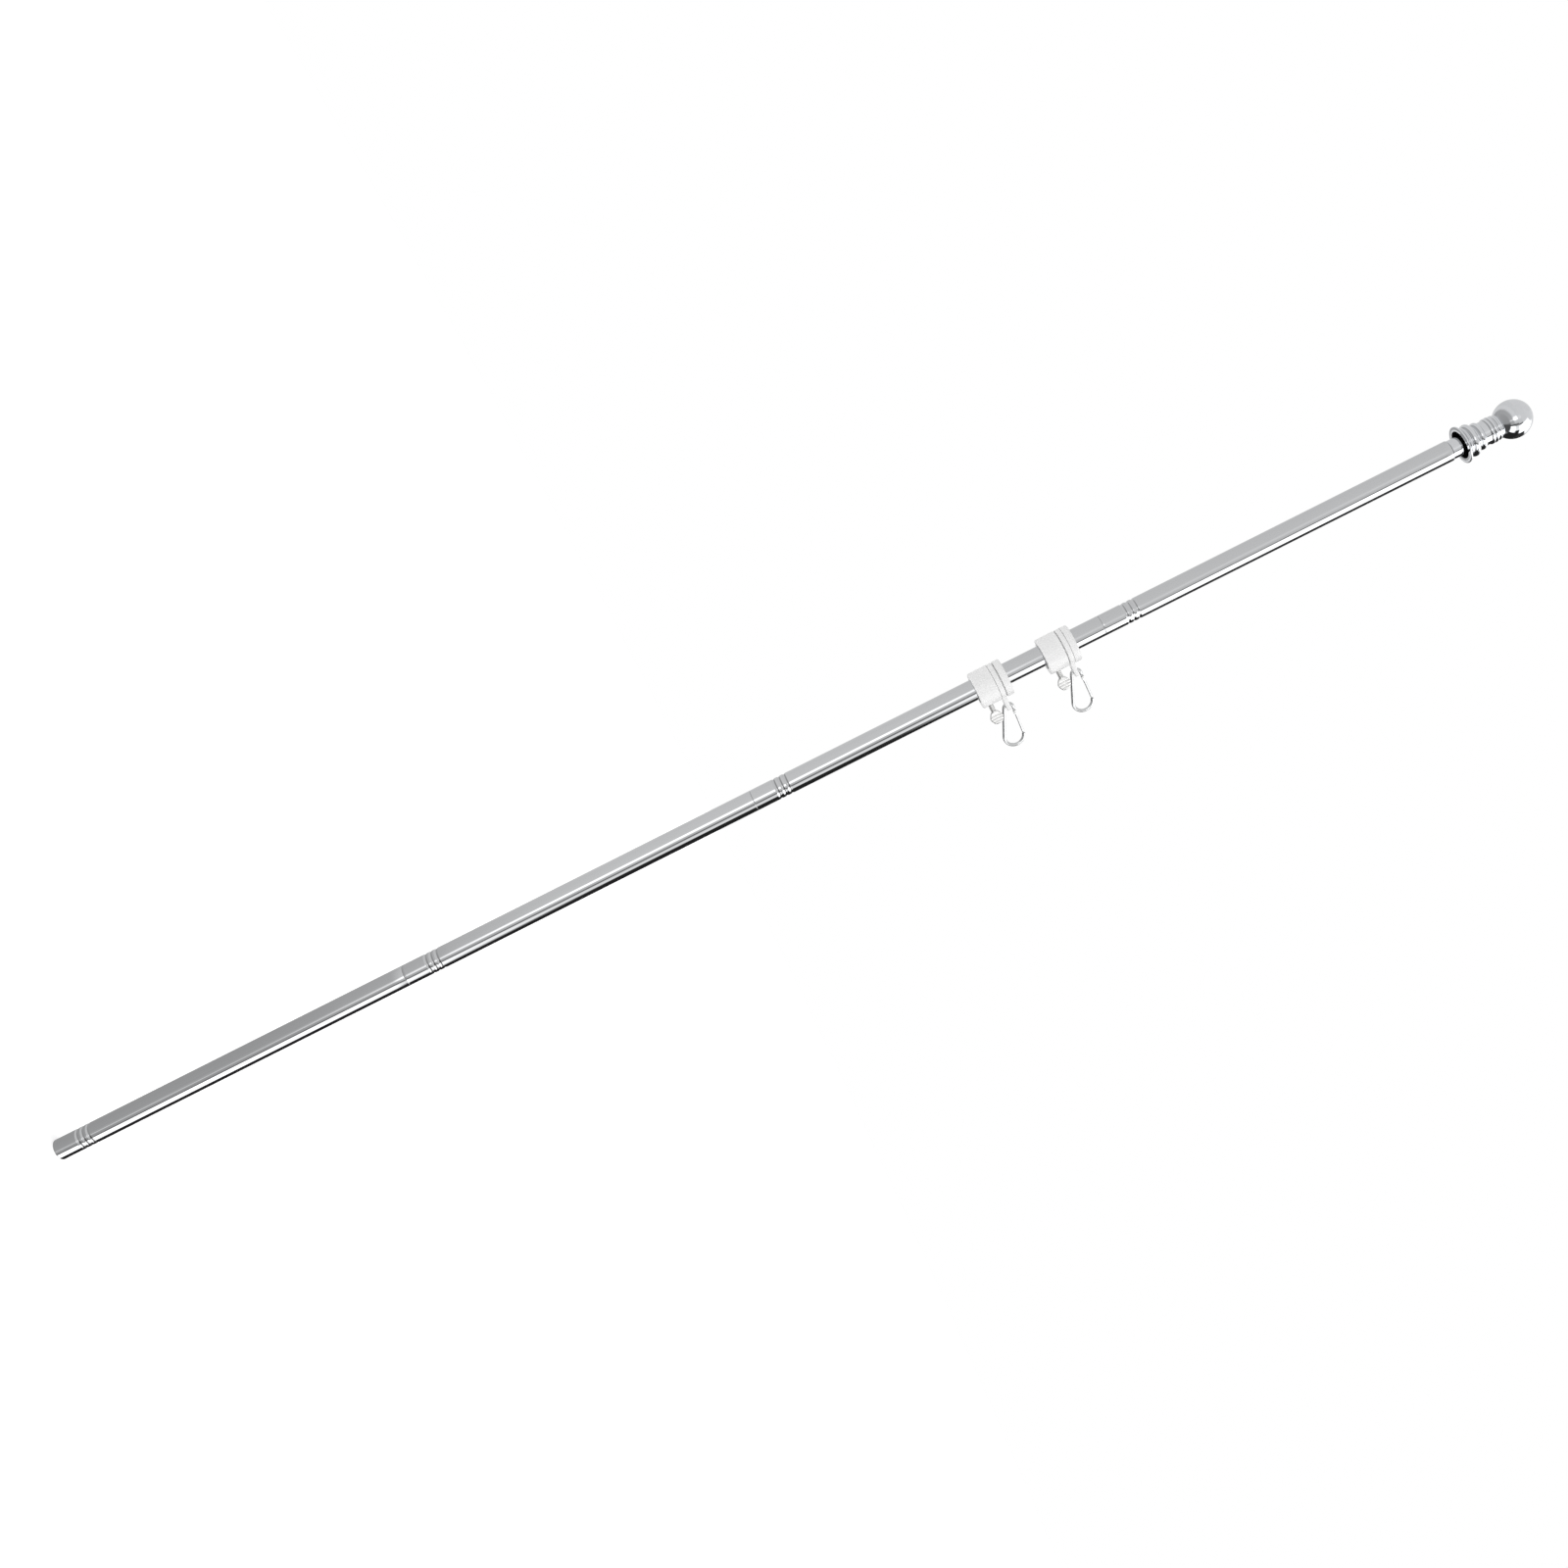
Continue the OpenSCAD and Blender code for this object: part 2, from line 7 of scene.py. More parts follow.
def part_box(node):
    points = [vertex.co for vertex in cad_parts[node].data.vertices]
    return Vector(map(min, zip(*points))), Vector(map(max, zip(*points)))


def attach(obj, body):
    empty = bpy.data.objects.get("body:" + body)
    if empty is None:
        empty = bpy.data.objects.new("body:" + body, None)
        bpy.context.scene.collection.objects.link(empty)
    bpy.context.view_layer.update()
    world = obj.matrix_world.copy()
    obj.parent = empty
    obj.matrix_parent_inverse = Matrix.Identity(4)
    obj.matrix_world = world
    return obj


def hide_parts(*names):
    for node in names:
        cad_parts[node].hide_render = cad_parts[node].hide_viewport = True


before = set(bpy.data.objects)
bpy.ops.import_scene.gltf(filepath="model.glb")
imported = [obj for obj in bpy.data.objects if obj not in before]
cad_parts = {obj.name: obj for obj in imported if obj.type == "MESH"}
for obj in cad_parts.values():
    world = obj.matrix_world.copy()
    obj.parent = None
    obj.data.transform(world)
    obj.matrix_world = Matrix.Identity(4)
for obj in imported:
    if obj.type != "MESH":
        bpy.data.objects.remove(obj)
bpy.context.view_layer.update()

# ---------------------------------------------------------------- pole sections
# Four lengths of thin-walled stainless tube, cut square and with their end edges rolled in.
# Three grooves are rolled into each one, above its lower end, to hold the insert inside it.

MM = 0.001
WALL = 0.6 * MM
GROOVE_FIRST = 24 * MM
GROOVE_PITCH = 5.5 * MM
GROOVE_DEPTH = 0.6 * MM
GROOVE_HALF = 1.8 * MM
END_ROUND = 0.4 * MM
GROOVES = 3
TUBE_SIDES = 144


def arc(x, z, r, start, end, steps):
    """Points round a circle of radius r about (x, z), from one angle in degrees to another."""
    a = np.radians(np.linspace(start, end, steps))
    return np.stack([x + r * np.cos(a), z + r * np.sin(a)], 1)


def revolve(profile, steps, centre=(0, 0)):
    """Surface of revolution: each (radius, height) of the profile at every angle round the axis.

    The angle runs along the second direction of the grid. A profile that goes up on the outside
    and comes down on the inside has its faces outwards.
    """
    turn = np.linspace(0, 2 * np.pi, steps, endpoint=False)
    r, z = profile[:, :1], profile[:, 1:]
    return np.stack([
        centre[0] + r * np.cos(turn),
        centre[1] + r * np.sin(turn),
        z + 0 * turn,
    ], 2)


def skin(points, close_rows, close_columns):
    """Quads of a grid of points, wrapped round in either direction, as (corners, faces)."""
    rows, columns = points.shape[:2]
    index = np.arange(rows * columns).reshape(rows, columns)
    i = np.arange(rows if close_rows else rows - 1)
    j = np.arange(columns if close_columns else columns - 1)
    i, j = np.meshgrid(i, j, indexing="ij")
    up, right = (i + 1) % rows, (j + 1) % columns
    faces = np.stack([index[i, j], index[i, right], index[up, right], index[up, j]], 2)
    return points.reshape(-1, 3), faces.reshape(-1, 4)


def make_piece(name, skins, material, body, replaced, sharp=40):
    """One object from several skins: doubles merged and normals outwards.

    Edges that turn by more than sharp degrees stay sharp. The piece rides on its body, and takes
    the place of the CAD nodes replaced.
    """
    start, corners, faces = 0, [], []
    for points, quads in skins:
        corners.append(points)
        faces.append(quads + start)
        start += len(points)
    corners, faces = np.concatenate(corners), np.concatenate(faces)
    mesh = bpy.data.meshes.new(name)
    mesh.from_pydata(corners, [], faces)
    shape = bmesh.new()
    shape.from_mesh(mesh)
    bmesh.ops.remove_doubles(shape, verts=shape.verts, dist=1e-7)
    bmesh.ops.recalc_face_normals(shape, faces=shape.faces)
    shape.to_mesh(mesh)
    shape.free()
    mesh.shade_smooth()
    mesh.set_sharp_from_angle(angle=np.radians(sharp))
    mesh.materials.append(material)
    piece = bpy.data.objects.new(name, mesh)
    bpy.context.scene.collection.objects.link(piece)
    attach(piece, body)
    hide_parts(*replaced)
    return piece


def srgb(code):
    """Linear colour of an sRGB hex value, by the sRGB curve."""
    c = np.array([int(code[i:i + 2], 16) for i in (1, 3, 5)]) / 255
    return (*np.where(c <= 0.04045, c / 12.92, ((c + 0.055) / 1.055) ** 2.4), 1)


def add(tree, kind, inputs=None, **settings):
    """Adds one node with its settings.

    The inputs hold a value, or another node's output, for each socket.
    """
    node = tree.nodes.new(kind)
    for name, value in settings.items():
        setattr(node, name, value)
    for name, value in (inputs or {}).items():
        if isinstance(value, bpy.types.NodeSocket):
            tree.links.new(value, node.inputs[name])
        else:
            node.inputs[name].default_value = value
    return node


def new_material(name):
    """An empty material: returns it with its node tree."""
    material = bpy.data.materials.new(name)
    material.use_nodes = True
    material.node_tree.nodes.clear()
    return material, material.node_tree


def polished_stainless():
    """Drawn and polished 304 tube: sharp reflections, drawn out by faint lines along the pole."""
    material, tree = new_material("polished_stainless")
    place = add(tree, "ShaderNodeTexCoord").outputs["Object"]
    # draw lines 0.35 mm apart round the tube and 250 mm long
    along = add(tree, "ShaderNodeMapping", {"Vector": place, "Scale": (1, 1, 0.0014)})
    lines = add(tree, "ShaderNodeTexNoise",
                {"Vector": along.outputs[0], "Scale": 1 / 0.00035, "Detail": 2.0})
    # slow waves left by the straightening rolls, some 60 mm long
    waves = add(tree, "ShaderNodeTexNoise", {"Vector": place, "Scale": 1 / 0.06, "Detail": 1.0})
    rough = add(tree, "ShaderNodeMapRange",
                {"Value": lines.outputs["Fac"], "From Min": 0.3, "From Max": 0.7,
                 "To Min": 0.045, "To Max": 0.10})
    slow = add(tree, "ShaderNodeBump",
               {"Height": waves.outputs["Fac"], "Strength": 0.10, "Distance": 0.002})
    fine = add(tree, "ShaderNodeBump",
               {"Height": lines.outputs["Fac"], "Strength": 0.05, "Distance": 0.0001,
                "Normal": slow.outputs[0]})
    tint = add(tree, "ShaderNodeMix",
               {"Factor": lines.outputs["Fac"], "A": srgb("#c6c7c9"), "B": srgb("#d0d1d2")},
               data_type="RGBA")
    metal = add(tree, "ShaderNodeBsdfPrincipled",
                {"Base Color": tint.outputs["Result"], "Metallic": 1.0,
                 "Roughness": rough.outputs[0], "Normal": fine.outputs[0]})
    add(tree, "ShaderNodeOutputMaterial", {"Surface": metal.outputs[0]})
    return material


def tube_profile(low, high, outer):
    """Closed profile of one tube: up the outside past the grooves, and down the inside.

    A groove is a raised cosine, pressed into both faces of the wall.
    """
    first, last = GROOVE_FIRST, GROOVE_FIRST + 2 * GROOVE_PITCH
    z = np.concatenate([
        np.linspace(END_ROUND, first - 2 * MM, 12),
        np.arange(first - 1.9 * MM, last + 1.9 * MM, 0.2 * MM),
        np.linspace(last + 2 * MM, high - low - END_ROUND, 30),
    ])
    dent = 0 * z
    for i in range(GROOVES):
        near = np.clip(np.abs(z - GROOVE_FIRST - i * GROOVE_PITCH) / GROOVE_HALF, 0, 1)
        dent += GROOVE_DEPTH * (0.5 + 0.5 * np.cos(np.pi * near))
    outside = np.stack([outer - dent, low + z], 1)
    inside = np.stack([outer - dent - WALL, low + z], 1)[::-1]
    over = arc(outer - END_ROUND, high - END_ROUND, END_ROUND, 0, 90, 8)[1:]
    under = arc(outer - END_ROUND, low + END_ROUND, END_ROUND, -90, 0, 8)[:-1]
    return np.concatenate([
        outside, over, [[outer - WALL, high]],
        inside, [[outer - WALL, low]], under,
    ])


stainless = polished_stainless()
for i in range(1, 5):
    low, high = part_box(f"pole_section_{i}")
    tube = skin(revolve(tube_profile(low.z, high.z, high.x), TUBE_SIDES), True, True)
    make_piece(f"tube_{i}", [tube], stainless, "root", [f"pole_section_{i}"])

# ---------------------------------------------------------------- plug, sockets and studs
# Glass-filled nylon inserts in the sections' lower ends, and zinc-plated steel studs in their
# upper ends. Only the plug's end shows, in the open butt; the rest is seen when taken apart.


def grey_nylon():
    """Glass-filled nylon, moulded: dull dark grey, with a faint flow mottle and a fine grain."""
    material, tree = new_material("glass_filled_nylon")
    place = add(tree, "ShaderNodeTexCoord").outputs["Object"]
    flow = add(tree, "ShaderNodeTexNoise", {"Vector": place, "Scale": 1 / 0.004, "Detail": 3.0})
    grain = add(tree, "ShaderNodeTexNoise", {"Vector": place, "Scale": 1 / 0.0003, "Detail": 2.0})
    tint = add(tree, "ShaderNodeMix",
               {"Factor": flow.outputs["Fac"], "A": srgb("#4b4d4f"), "B": srgb("#5d5f61")},
               data_type="RGBA")
    bump = add(tree, "ShaderNodeBump",
               {"Height": grain.outputs["Fac"], "Strength": 0.3, "Distance": 0.0001})
    plastic = add(tree, "ShaderNodeBsdfPrincipled",
                  {"Base Color": tint.outputs["Result"], "Roughness": 0.55, "IOR": 1.53,
                   "Normal": bump.outputs[0]})
    add(tree, "ShaderNodeOutputMaterial", {"Surface": plastic.outputs[0]})
    return material


def zinc_plate():
    """Bright zinc on turned steel: slightly blue, with the turning marks round the axis."""
    material, tree = new_material("bright_zinc_plate")
    place = add(tree, "ShaderNodeTexCoord").outputs["Object"]
    # turning marks 0.25 mm apart along the axis
    rings = add(tree, "ShaderNodeMapping", {"Vector": place, "Scale": (0.05, 0.05, 1)})
    marks = add(tree, "ShaderNodeTexNoise",
                {"Vector": rings.outputs[0], "Scale": 1 / 0.00025, "Detail": 2.0})
    bump = add(tree, "ShaderNodeBump",
               {"Height": marks.outputs["Fac"], "Strength": 0.15, "Distance": 0.0001})
    tint = add(tree, "ShaderNodeMix",
               {"Factor": marks.outputs["Fac"], "A": srgb("#b9bdc2"), "B": srgb("#cdd0d3")},
               data_type="RGBA")
    metal = add(tree, "ShaderNodeBsdfPrincipled",
                {"Base Color": tint.outputs["Result"], "Metallic": 1.0, "Roughness": 0.25,
                 "Normal": bump.outputs[0]})
    add(tree, "ShaderNodeOutputMaterial", {"Surface": metal.outputs[0]})
    return material


def finish_node(name, material):
    """Gives a CAD node its material."""
    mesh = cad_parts[name].data
    mesh.materials.clear()
    mesh.materials.append(material)


nylon = grey_nylon()
zinc = zinc_plate()
for name in ("butt_plug", "socket_2", "socket_3", "socket_4"):
    finish_node(name, nylon)
for i in range(1, 5):
    finish_node(f"stud_{i}", zinc)

# ---------------------------------------------------------------- finial
# Chrome-plated die castings and a pressed ball: a ferrule that screws on the top stud, a hollow
# flared collar with two ribs and three beads, and the ball that is fixed on the collar's seat.

NECK_BORE_R = 6.05 * MM
NECK_CHAMFER = 0.5 * MM
LIP_ROUND = 0.5 * MM
SEAT_R = 10.2 * MM
CUP_DEPTH = 9 * MM
MOUTH_R = 13.4 * MM
WAIST_Z = (7 * MM, 12 * MM)
WAIST_R = (13.9 * MM, 11.5 * MM)
VALLEY = 0.22 * MM
THROAT_R = 5.3 * MM
# radius, height and half height of each rib and bead, from the collar's rim up
RIBS = np.array([(15.9, 9.8, 3.5), (13.4, 18.1, 3.2), (12.6, 28.1, 1.9), (12.6, 31.6, 1.9),
                 (12.1, 35.5, 1.5)]) * MM
FINIAL_SIDES = 192


def chrome_plate():
    """Bright chromium over nickel: a mirror, with the casting's faint waviness under it.

    Inside the collar's deep mouth the colour is painted dark grey and duller, as painted shade of
    the cup's hollow.
    """
    material, tree = new_material("bright_chrome_plate")
    place = add(tree, "ShaderNodeTexCoord").outputs["Object"]
    waves = add(tree, "ShaderNodeTexNoise", {"Vector": place, "Scale": 1 / 0.009, "Detail": 2.0})
    haze = add(tree, "ShaderNodeTexNoise", {"Vector": place, "Scale": 1 / 0.003, "Detail": 4.0})
    bump = add(tree, "ShaderNodeBump",
               {"Height": waves.outputs["Fac"], "Strength": 0.12, "Distance": 0.0008})
    rough = add(tree, "ShaderNodeMapRange",
                {"Value": haze.outputs["Fac"], "From Min": 0.35, "From Max": 0.7,
                 "To Min": 0.03, "To Max": 0.08})
    tint = add(tree, "ShaderNodeMix",
               {"Factor": haze.outputs["Fac"], "A": srgb("#d4d6d9"), "B": srgb("#dcdddf")},
               data_type="RGBA")
    # painted shade: points stored inside the collar's mouth get a dark grey colour and a rougher
    # finish
    bare = add(tree, "ShaderNodeAttribute", attribute_name="bare").outputs["Fac"]
    colour = add(tree, "ShaderNodeMix",
                 {"Factor": bare, "A": tint.outputs["Result"], "B": srgb("#2c2c2d")},
                 data_type="RGBA")
    dull = add(tree, "ShaderNodeMath", {0: bare, 1: 0.5, 2: rough.outputs[0]},
               operation="MULTIPLY_ADD")
    metal = add(tree, "ShaderNodeBsdfPrincipled",
                {"Base Color": colour.outputs["Result"], "Metallic": 1.0,
                 "Roughness": dull.outputs[0], "Normal": bump.outputs[0]})
    add(tree, "ShaderNodeOutputMaterial", {"Surface": metal.outputs[0]})
    return material


def neck_profile(low, high, outer, bore):
    """Ferrule: chamfered at its foot, plain above, with the stud's bore in it."""
    return np.array([
        [bore, low], [outer - NECK_CHAMFER, low], [outer, low + NECK_CHAMFER],
        [outer, high - NECK_CHAMFER], [outer - NECK_CHAMFER, high], [bore, high],
    ])


def steps(start, end, gap):
    """Values from start to end, about one gap apart."""
    return np.linspace(start, end, max(2, int(abs(end - start) / gap)))


def collar_outline(z):
    """Radius of the collar at each height above its rim: the greatest of the waist and the ribs.

    A rib is an arc of a circle that stands out from the waist. The greatest is a soft one, the
    logarithm of a sum of exponentials, so the valleys have a fillet.
    """
    waist = np.interp(z, WAIST_Z, WAIST_R)
    r, middle, half = (column[:, None] for column in RIBS.T)
    bulge = np.sqrt(np.maximum(half ** 2 - (z - middle) ** 2, 0))
    ribbed = np.where(bulge > 0, r - half + bulge, 0)
    return VALLEY * np.log(np.exp(waist / VALLEY) + np.sum(np.exp(ribbed / VALLEY), 0))


def collar_profile(low, high, rim):
    """Collar from the middle of the mouth's floor: mouth, flat lip, throat, ribs, ball's seat."""
    z = steps(5.6 * MM, high - low - 0.4 * MM, 0.12 * MM)
    ribs = np.stack([collar_outline(z), low + z], 1)
    throat = arc(rim + 1 * MM, low + 6.8 * MM, THROAT_R, 256, 194, 16)
    return np.concatenate([
        [[0, low + CUP_DEPTH]], [[MOUTH_R - 1.6 * MM, low + CUP_DEPTH]],
        arc(MOUTH_R + LIP_ROUND, low + LIP_ROUND, LIP_ROUND, 180, 270, 6),
        arc(rim - LIP_ROUND, low + LIP_ROUND, LIP_ROUND, -90, 60, 12),
        throat, ribs, [[SEAT_R, high], [0, high]],
    ])


def mark_bare(piece, reach, level):
    """Stores 1 on the points within a radius of the axis and below a height: the mouth, for
    painted shade.
    """
    mesh = piece.data
    corners = np.empty(3 * len(mesh.vertices))
    mesh.vertices.foreach_get("co", corners)
    corners = corners.reshape(-1, 3)
    inside = (np.hypot(corners[:, 0], corners[:, 1]) < reach) & (corners[:, 2] < level)
    bare = mesh.attributes.new("bare", "FLOAT", "POINT")
    bare.data.foreach_set("value", inside.astype(float))


chrome = chrome_plate()
low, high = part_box("finial_neck")
neck = skin(revolve(neck_profile(low.z, high.z, high.x, NECK_BORE_R), 128), True, True)
make_piece("finial_ferrule", [neck], chrome, "root", ["finial_neck"])

low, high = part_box("finial_collar")
collar = skin(revolve(collar_profile(low.z, high.z, high.x), FINIAL_SIDES), False, True)
bell = make_piece("finial_bell", [collar], chrome, "root", ["finial_collar"], 60)
# painted shade inside the collar's mouth: its points are stored for the material's dark colour
mark_bare(bell, MOUTH_R + 0.1 * MM, low.z + CUP_DEPTH + 0.1 * MM)

low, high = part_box("finial_ball")
middle = high.z - high.x
seat_turn = -np.degrees(np.arccos(SEAT_R / high.x))
ball_profile = np.concatenate([[[0, low.z]], arc(0, middle, high.x, seat_turn, 90, 120)])
ball = skin(revolve(ball_profile, FINIAL_SIDES), False, True)
make_piece("finial_globe", [ball], chrome, "root", ["finial_ball"])

# ---------------------------------------------------------------- ring sleeves and caps
# Injection-moulded white ABS. The sleeve slides on the pole and has a hub for the turning band;
# the cap is pressed on the hub and closes the band's groove. The thumb screw goes through the
# sleeve's thick lower wall, out of a shallow dimple.

BORE_R = 12.1 * MM
HUB_R = 15.4 * MM
SLOT_Z = 19.1 * MM              # the groove's floor, above the sleeve's lower end
CAP_SEAT = 0.2 * MM             # the hub's end stands this much inside the cap
FILLET = 0.35 * MM
RIM_ROUND = 1.1 * MM
SCREW_Z = 7.2 * MM
DIMPLE_R = 3.6 * MM
DIMPLE_DEPTH = 0.35 * MM
SLEEVE_SIDES = 256
CAP_SIDES = 192


def white_plastic():
    """White ABS from a satin mould: soft gloss, a faint flow mottle and scuffs from handling."""
    material, tree = new_material("white_moulded_plastic")
    place = add(tree, "ShaderNodeTexCoord").outputs["Object"]
    flow = add(tree, "ShaderNodeTexNoise", {"Vector": place, "Scale": 1 / 0.012, "Detail": 3.0})
    grain = add(tree, "ShaderNodeTexNoise", {"Vector": place, "Scale": 1 / 0.0006, "Detail": 2.0})
    tint = add(tree, "ShaderNodeMix",
               {"Factor": flow.outputs["Fac"], "A": srgb("#dfdfdf"), "B": srgb("#e5e5e5")},
               data_type="RGBA")
    rough = add(tree, "ShaderNodeMapRange",
                {"Value": flow.outputs["Fac"], "From Min": 0.3, "From Max": 0.7,
                 "To Min": 0.28, "To Max": 0.38})
    bump = add(tree, "ShaderNodeBump",
               {"Height": grain.outputs["Fac"], "Strength": 0.04, "Distance": 0.0001})
    plastic = add(tree, "ShaderNodeBsdfPrincipled",
                  {"Base Color": tint.outputs["Result"], "Roughness": rough.outputs[0],
                   "IOR": 1.53, "Normal": bump.outputs[0]})
    add(tree, "ShaderNodeOutputMaterial", {"Surface": plastic.outputs[0]})
    return material


def sleeve_profile(low, slot, top, bore, outer, hub):
    """Closed profile of the sleeve: a thick wall up to the band's groove, then the hub."""
    wall = steps(low + RIM_ROUND, slot - FILLET, 0.3 * MM)
    return np.concatenate([
        arc(bore + FILLET, low + FILLET, FILLET, 180, 270, 5),
        arc(outer - RIM_ROUND, low + RIM_ROUND, RIM_ROUND, -90, 0, 10),
        np.stack([0 * wall + outer, wall], 1),
        arc(outer - FILLET, slot - FILLET, FILLET, 0, 90, 6),
        [[hub + FILLET, slot]],
        arc(hub + FILLET, slot + FILLET, FILLET, 270, 180, 6),
        [[hub, top - FILLET], [hub - FILLET, top], [bore + FILLET, top]],
        arc(bore + FILLET, top - FILLET, FILLET, 90, 180, 5),
    ])


def cap_profile(low, high, bore, outer):
    """Closed profile of the cap: a plain washer with a rounded shoulder."""
    return np.concatenate([
        arc(bore + FILLET, low + FILLET, FILLET, 180, 270, 5),
        arc(outer - FILLET, low + FILLET, FILLET, -90, 0, 6),
        arc(outer - RIM_ROUND, high - RIM_ROUND, RIM_ROUND, 0, 90, 10),
        arc(bore + FILLET, high - FILLET, FILLET, 90, 180, 5),
    ])


def dimple(points, axis_z, centre_x, outer):
    """Sinks the outer wall round the screw's axis, by a smooth step of the distance from it."""
    away = np.hypot(points[..., 1], points[..., 2] - axis_z)
    share = np.clip(1 - away / DIMPLE_R, 0, 1)
    sunk = DIMPLE_DEPTH * share ** 2 * (3 - 2 * share)
    radius = np.hypot(points[..., 0] - centre_x, points[..., 1])
    outside = (points[..., 0] > centre_x) & (radius > outer - 0.1 * MM)
    points[..., 0] -= np.where(outside, sunk, 0)
    return points


plastic = white_plastic()
for ring in ("lower", "upper"):
    low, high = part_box(f"{ring}_sleeve")
    cap_low, cap_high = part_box(f"{ring}_cap")
    centre = ((low.x + high.x) / 2, 0)
    outer = (high.x - low.x) / 2
    profile = sleeve_profile(low.z, low.z + SLOT_Z, cap_low.z + CAP_SEAT, BORE_R, outer, HUB_R)
    walls = revolve(profile, SLEEVE_SIDES, centre)
    sleeve = skin(dimple(walls, low.z + SCREW_Z, centre[0], outer), True, True)
    make_piece(f"{ring}_ring_sleeve", [sleeve], plastic, f"{ring}_clamp",
               [f"{ring}_sleeve"], 50)
    flange = revolve(cap_profile(cap_low.z, cap_high.z, BORE_R, outer), CAP_SIDES, centre)
    make_piece(f"{ring}_ring_cap", [skin(flange, True, True)], plastic, f"{ring}_clamp",
               [f"{ring}_cap"], 50)

# ---------------------------------------------------------------- turning bands
# White ABS mouldings: a flat band that turns in the sleeve's groove, and on its side a tongue with
# a countersunk eye that the hook's wire goes through.

BAND_ROUND = 0.3 * MM
BAND_PLAY = 0.3 * MM            # between the band and the hub it turns on
BAND_INSET = 0.1 * MM           # of the band's outside from the sleeve's
BAND_SIDES = 192
EYE_TURN = np.radians(25)
EYE_REACH = 30.5 * MM           # from the sleeve's axis to the middle of the bar past the eye
HOLE_X = 26.0 * MM
HOLE_R = 2.2 * MM
TIP_X = 1.4 * MM                # centre of the eye's round end, from the hole's centre
TIP_R = 5.4 * MM
SIDE_TAPER = 0.111              # how fast the tongue's sides draw together, away from the pole
EYE_INSET = 0.12 * MM           # of the tongue's root from the band's edges
EYE_HALF = 1.9 * MM
TIP_HALF = 1.5 * MM
SINK_HALF = 0.9 * MM            # half height left at the hole by the countersink
# distances from the hole's centre where the tongue's half height changes its slope
TONGUE_X = np.array([-8.3, 3.4, 5.7, 6.8]) * MM


def placed(points, corner, axes):
    """Points of a local frame in the world: the corner plus each coordinate along its own axis."""
    return np.asarray(corner) + points @ np.asarray(axes)


def rounded_box(low_x, high_x, low_z, high_z, r):
    """Closed profile of a rectangle with rounded corners."""
    return np.concatenate([
        arc(high_x - r, low_z + r, r, -90, 0, 6), arc(high_x - r, high_z - r, r, 0, 90, 6),
        arc(low_x + r, high_z - r, r, 90, 180, 6), arc(low_x + r, low_z + r, r, 180, 270, 6),
    ])


def rounded(turn, power):
    """Cosine and sine of an angle raised to a power, signs kept: 1 is a circle, 0.4 a soft box."""
    c, s = np.cos(turn), np.sin(turn)
    return np.sign(c) * np.abs(c) ** power, np.sign(s) * np.abs(s) ** power


def eye_grid(root_r, half_w):
    """Tongue and eye as a ring round the hole, in a frame with X away from the pole.

    Each ray from the hole's centre runs to the outline: a round tip, straight sides, and an arc
    inside the band, which the rays towards the pole meet first. The section along a ray is a soft
    box whose half height follows the tongue's taper, and is cut down by the countersink next to
    the hole.
    """
    ray = np.linspace(0, 2 * np.pi, 224, endpoint=False)[:, None]
    c, s = np.cos(ray), np.abs(np.sin(ray))
    tip = TIP_X * c + np.sqrt(TIP_R ** 2 - (TIP_X * s) ** 2)
    side = (TIP_R + SIDE_TAPER * TIP_X) / np.maximum(s + SIDE_TAPER * c, 1e-6)
    reach = root_r ** 2 - (HOLE_X * s) ** 2
    root = np.where((c < 0) & (reach > 0), -HOLE_X * c - np.sqrt(np.maximum(reach, 0)), np.inf)
    edge = np.maximum(tip, np.where(side * c <= TIP_X, np.minimum(side, root), 0))
    along, across = rounded(np.linspace(0, 2 * np.pi, 44, endpoint=False) + 0.02, 0.45)
    far = HOLE_R + (edge - HOLE_R) * (0.5 + 0.5 * along)
    half = np.interp(far * c, TONGUE_X, [half_w, EYE_HALF, EYE_HALF, TIP_HALF])
    half = np.minimum(half, SINK_HALF + far - HOLE_R)
    return np.stack([HOLE_X + far * c, far * np.sin(ray), across * half], 2)


out = np.array([np.cos(EYE_TURN), np.sin(EYE_TURN), 0])
beside = np.array([-np.sin(EYE_TURN), np.cos(EYE_TURN), 0])
up = np.array([0, 0, 1])
band_axes = [out, beside, up]
band_centre = {}
for ring in ("lower", "upper"):
    low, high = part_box(f"{ring}_band")
    sleeve_low, sleeve_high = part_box(f"{ring}_sleeve")
    axis_x = (sleeve_low.x + sleeve_high.x) / 2
    inner, outer = HUB_R + BAND_PLAY, (sleeve_high.x - sleeve_low.x) / 2 - BAND_INSET
    band_centre[ring] = np.array([axis_x, 0, (low.z + high.z) / 2])
    half_w = (high.z - low.z) / 2
    profile = rounded_box(inner, outer, low.z, high.z, BAND_ROUND)
    hoop = skin(revolve(profile, BAND_SIDES, (axis_x, 0)), True, True)
    eye = placed(eye_grid((inner + outer) / 2, half_w - EYE_INSET), band_centre[ring], band_axes)
    make_piece(f"{ring}_ring_band", [hoop, skin(eye, True, True)], plastic, f"{ring}_swivel",
               [f"{ring}_band"], 50)

# ---------------------------------------------------------------- thumb screws
# Nickel-plated steel: an M5 thread, a round collar and a flat stamped head with rounded corners
# and three grip grooves across each face.

THREAD_R = 2.5 * MM
THREAD_PITCH = 0.8 * MM
THREAD_DEPTH = 0.35 * MM
COLLAR_R = 3.4 * MM
COLLAR_L = 1.4 * MM
COLLAR_ROUND = 0.35 * MM
SHANK_IN_HEAD = 0.8 * MM
HEAD_H = 12.2 * MM
HEAD_HALF_T = 1.3 * MM
HEX_SIZE = 1.06                 # of the slanting edges' distance, to a regular hexagon's
CORNER_POWER = 24               # a higher power makes a sharper corner
HEAD_FLAT = 0.82                # share of the head's radius that is flat
GRIP_AT = (-1.8 * MM, 0.8 * MM, 3.4 * MM)
GRIP_HALF = 1.0 * MM
GRIP_DEPTH = 0.55 * MM


